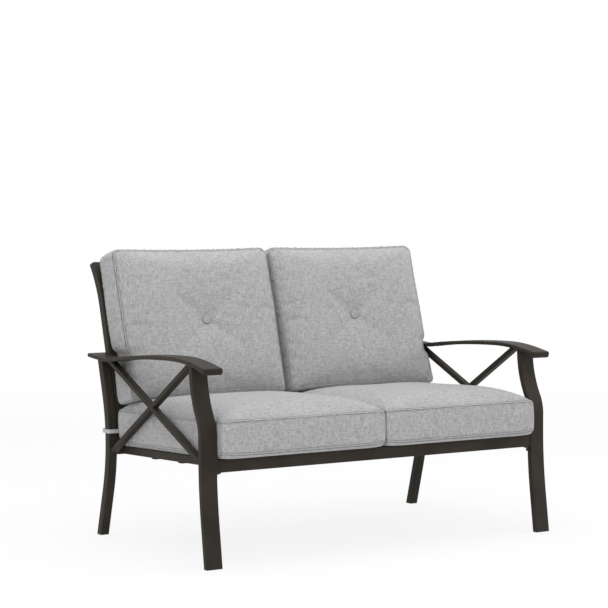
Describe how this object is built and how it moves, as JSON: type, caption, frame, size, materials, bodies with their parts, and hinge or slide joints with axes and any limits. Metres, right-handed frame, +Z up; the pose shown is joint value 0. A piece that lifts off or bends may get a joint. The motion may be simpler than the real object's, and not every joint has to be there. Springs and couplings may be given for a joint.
{
  "type": "patio loveseat",
  "caption": "Patio loveseat with a dark metal frame, curved armrests, crossed side bars and loose grey seat and back cushions.",
  "frame": {"origin": "on the floor at the middle of the loveseat's footprint", "axes": "+X to the right as seen from the front, -Y the way the seat faces, +Z up"},
  "size_m": [1.34, 0.884, 0.9529],
  "materials": {
    "frame_paint": "matte dark bronze powder coat",
    "cap_plastic": "matte near-black plastic",
    "hardware": "zinc-plated steel, partly hidden",
    "cushion_fabric": "light heather grey woven cloth",
    "button_fabric": "light grey woven cloth over a button",
    "strap_fabric": "light grey tie strap"
  },
  "bodies": {
    "frame": {"armrest_left": "frame_paint", "armrest_nose_left": "frame_paint", "armrest_nose_right": "frame_paint", "armrest_plug_left": "cap_plastic", "armrest_plug_right": "cap_plastic", "armrest_right": "frame_paint", "back_slats_left": "frame_paint", "back_slats_right": "frame_paint", "back_stile_left": "frame_paint", "back_stile_right": "frame_paint", "bracket_bolts": "hardware", "bracket_nuts": "hardware", "centre_rail": "frame_paint", "front_cross_tie": "frame_paint", "front_foot_cap_left": "cap_plastic", "front_foot_cap_right": "cap_plastic", "front_leg_left": "frame_paint", "front_leg_right": "frame_paint", "front_rail": "frame_paint", "long_brace_left": "frame_paint", "long_brace_right": "frame_paint", "lower_back_rail": "frame_paint", "rail_bracket_left": "frame_paint", "rail_bracket_right": "frame_paint", "rear_cross_tie": "frame_paint", "rear_foot_cap_left": "cap_plastic", "rear_foot_cap_right": "cap_plastic", "rear_leg_left": "frame_paint", "rear_leg_right": "frame_paint", "rear_rail": "frame_paint", "seat_slats_left": "frame_paint", "seat_slats_right": "frame_paint", "short_brace_left": "frame_paint", "short_brace_right": "frame_paint", "side_rail_left": "frame_paint", "side_rail_right": "frame_paint", "stile_bolts": "hardware", "stile_cap_left": "cap_plastic", "stile_cap_right": "cap_plastic", "stile_nuts": "hardware", "stile_spacers": "hardware", "tie_loop_left": "strap_fabric", "tie_loop_right": "strap_fabric", "upper_back_rail": "frame_paint"},
    "seat_left": {"seat_cushion_left": "cushion_fabric", "tie_tab_left": "strap_fabric"},
    "back_left": {"back_cushion_left": "cushion_fabric", "front_button_left": "button_fabric", "rear_button_left": "button_fabric"},
    "seat_right": {"seat_cushion_right": "cushion_fabric", "tie_tab_right": "strap_fabric"},
    "back_right": {"back_cushion_right": "cushion_fabric", "front_button_right": "button_fabric", "rear_button_right": "button_fabric"}
  },
  "joints": [
    {"name": "seat_left_pull", "type": "slide", "parent": "frame", "child": "seat_left", "axis": [0, -0.9993, 0.0384], "range_m": [0, 0.6]},
    {"name": "back_left_lift", "type": "slide", "parent": "frame", "child": "back_left", "axis": [0, 0.2756, 0.9613], "range_m": [0, 0.5]},
    {"name": "seat_right_pull", "type": "slide", "parent": "frame", "child": "seat_right", "axis": [0, -0.9993, 0.0384], "range_m": [0, 0.6]},
    {"name": "back_right_lift", "type": "slide", "parent": "frame", "child": "back_right", "axis": [0, 0.2756, 0.9613], "range_m": [0, 0.5]}
  ]
}
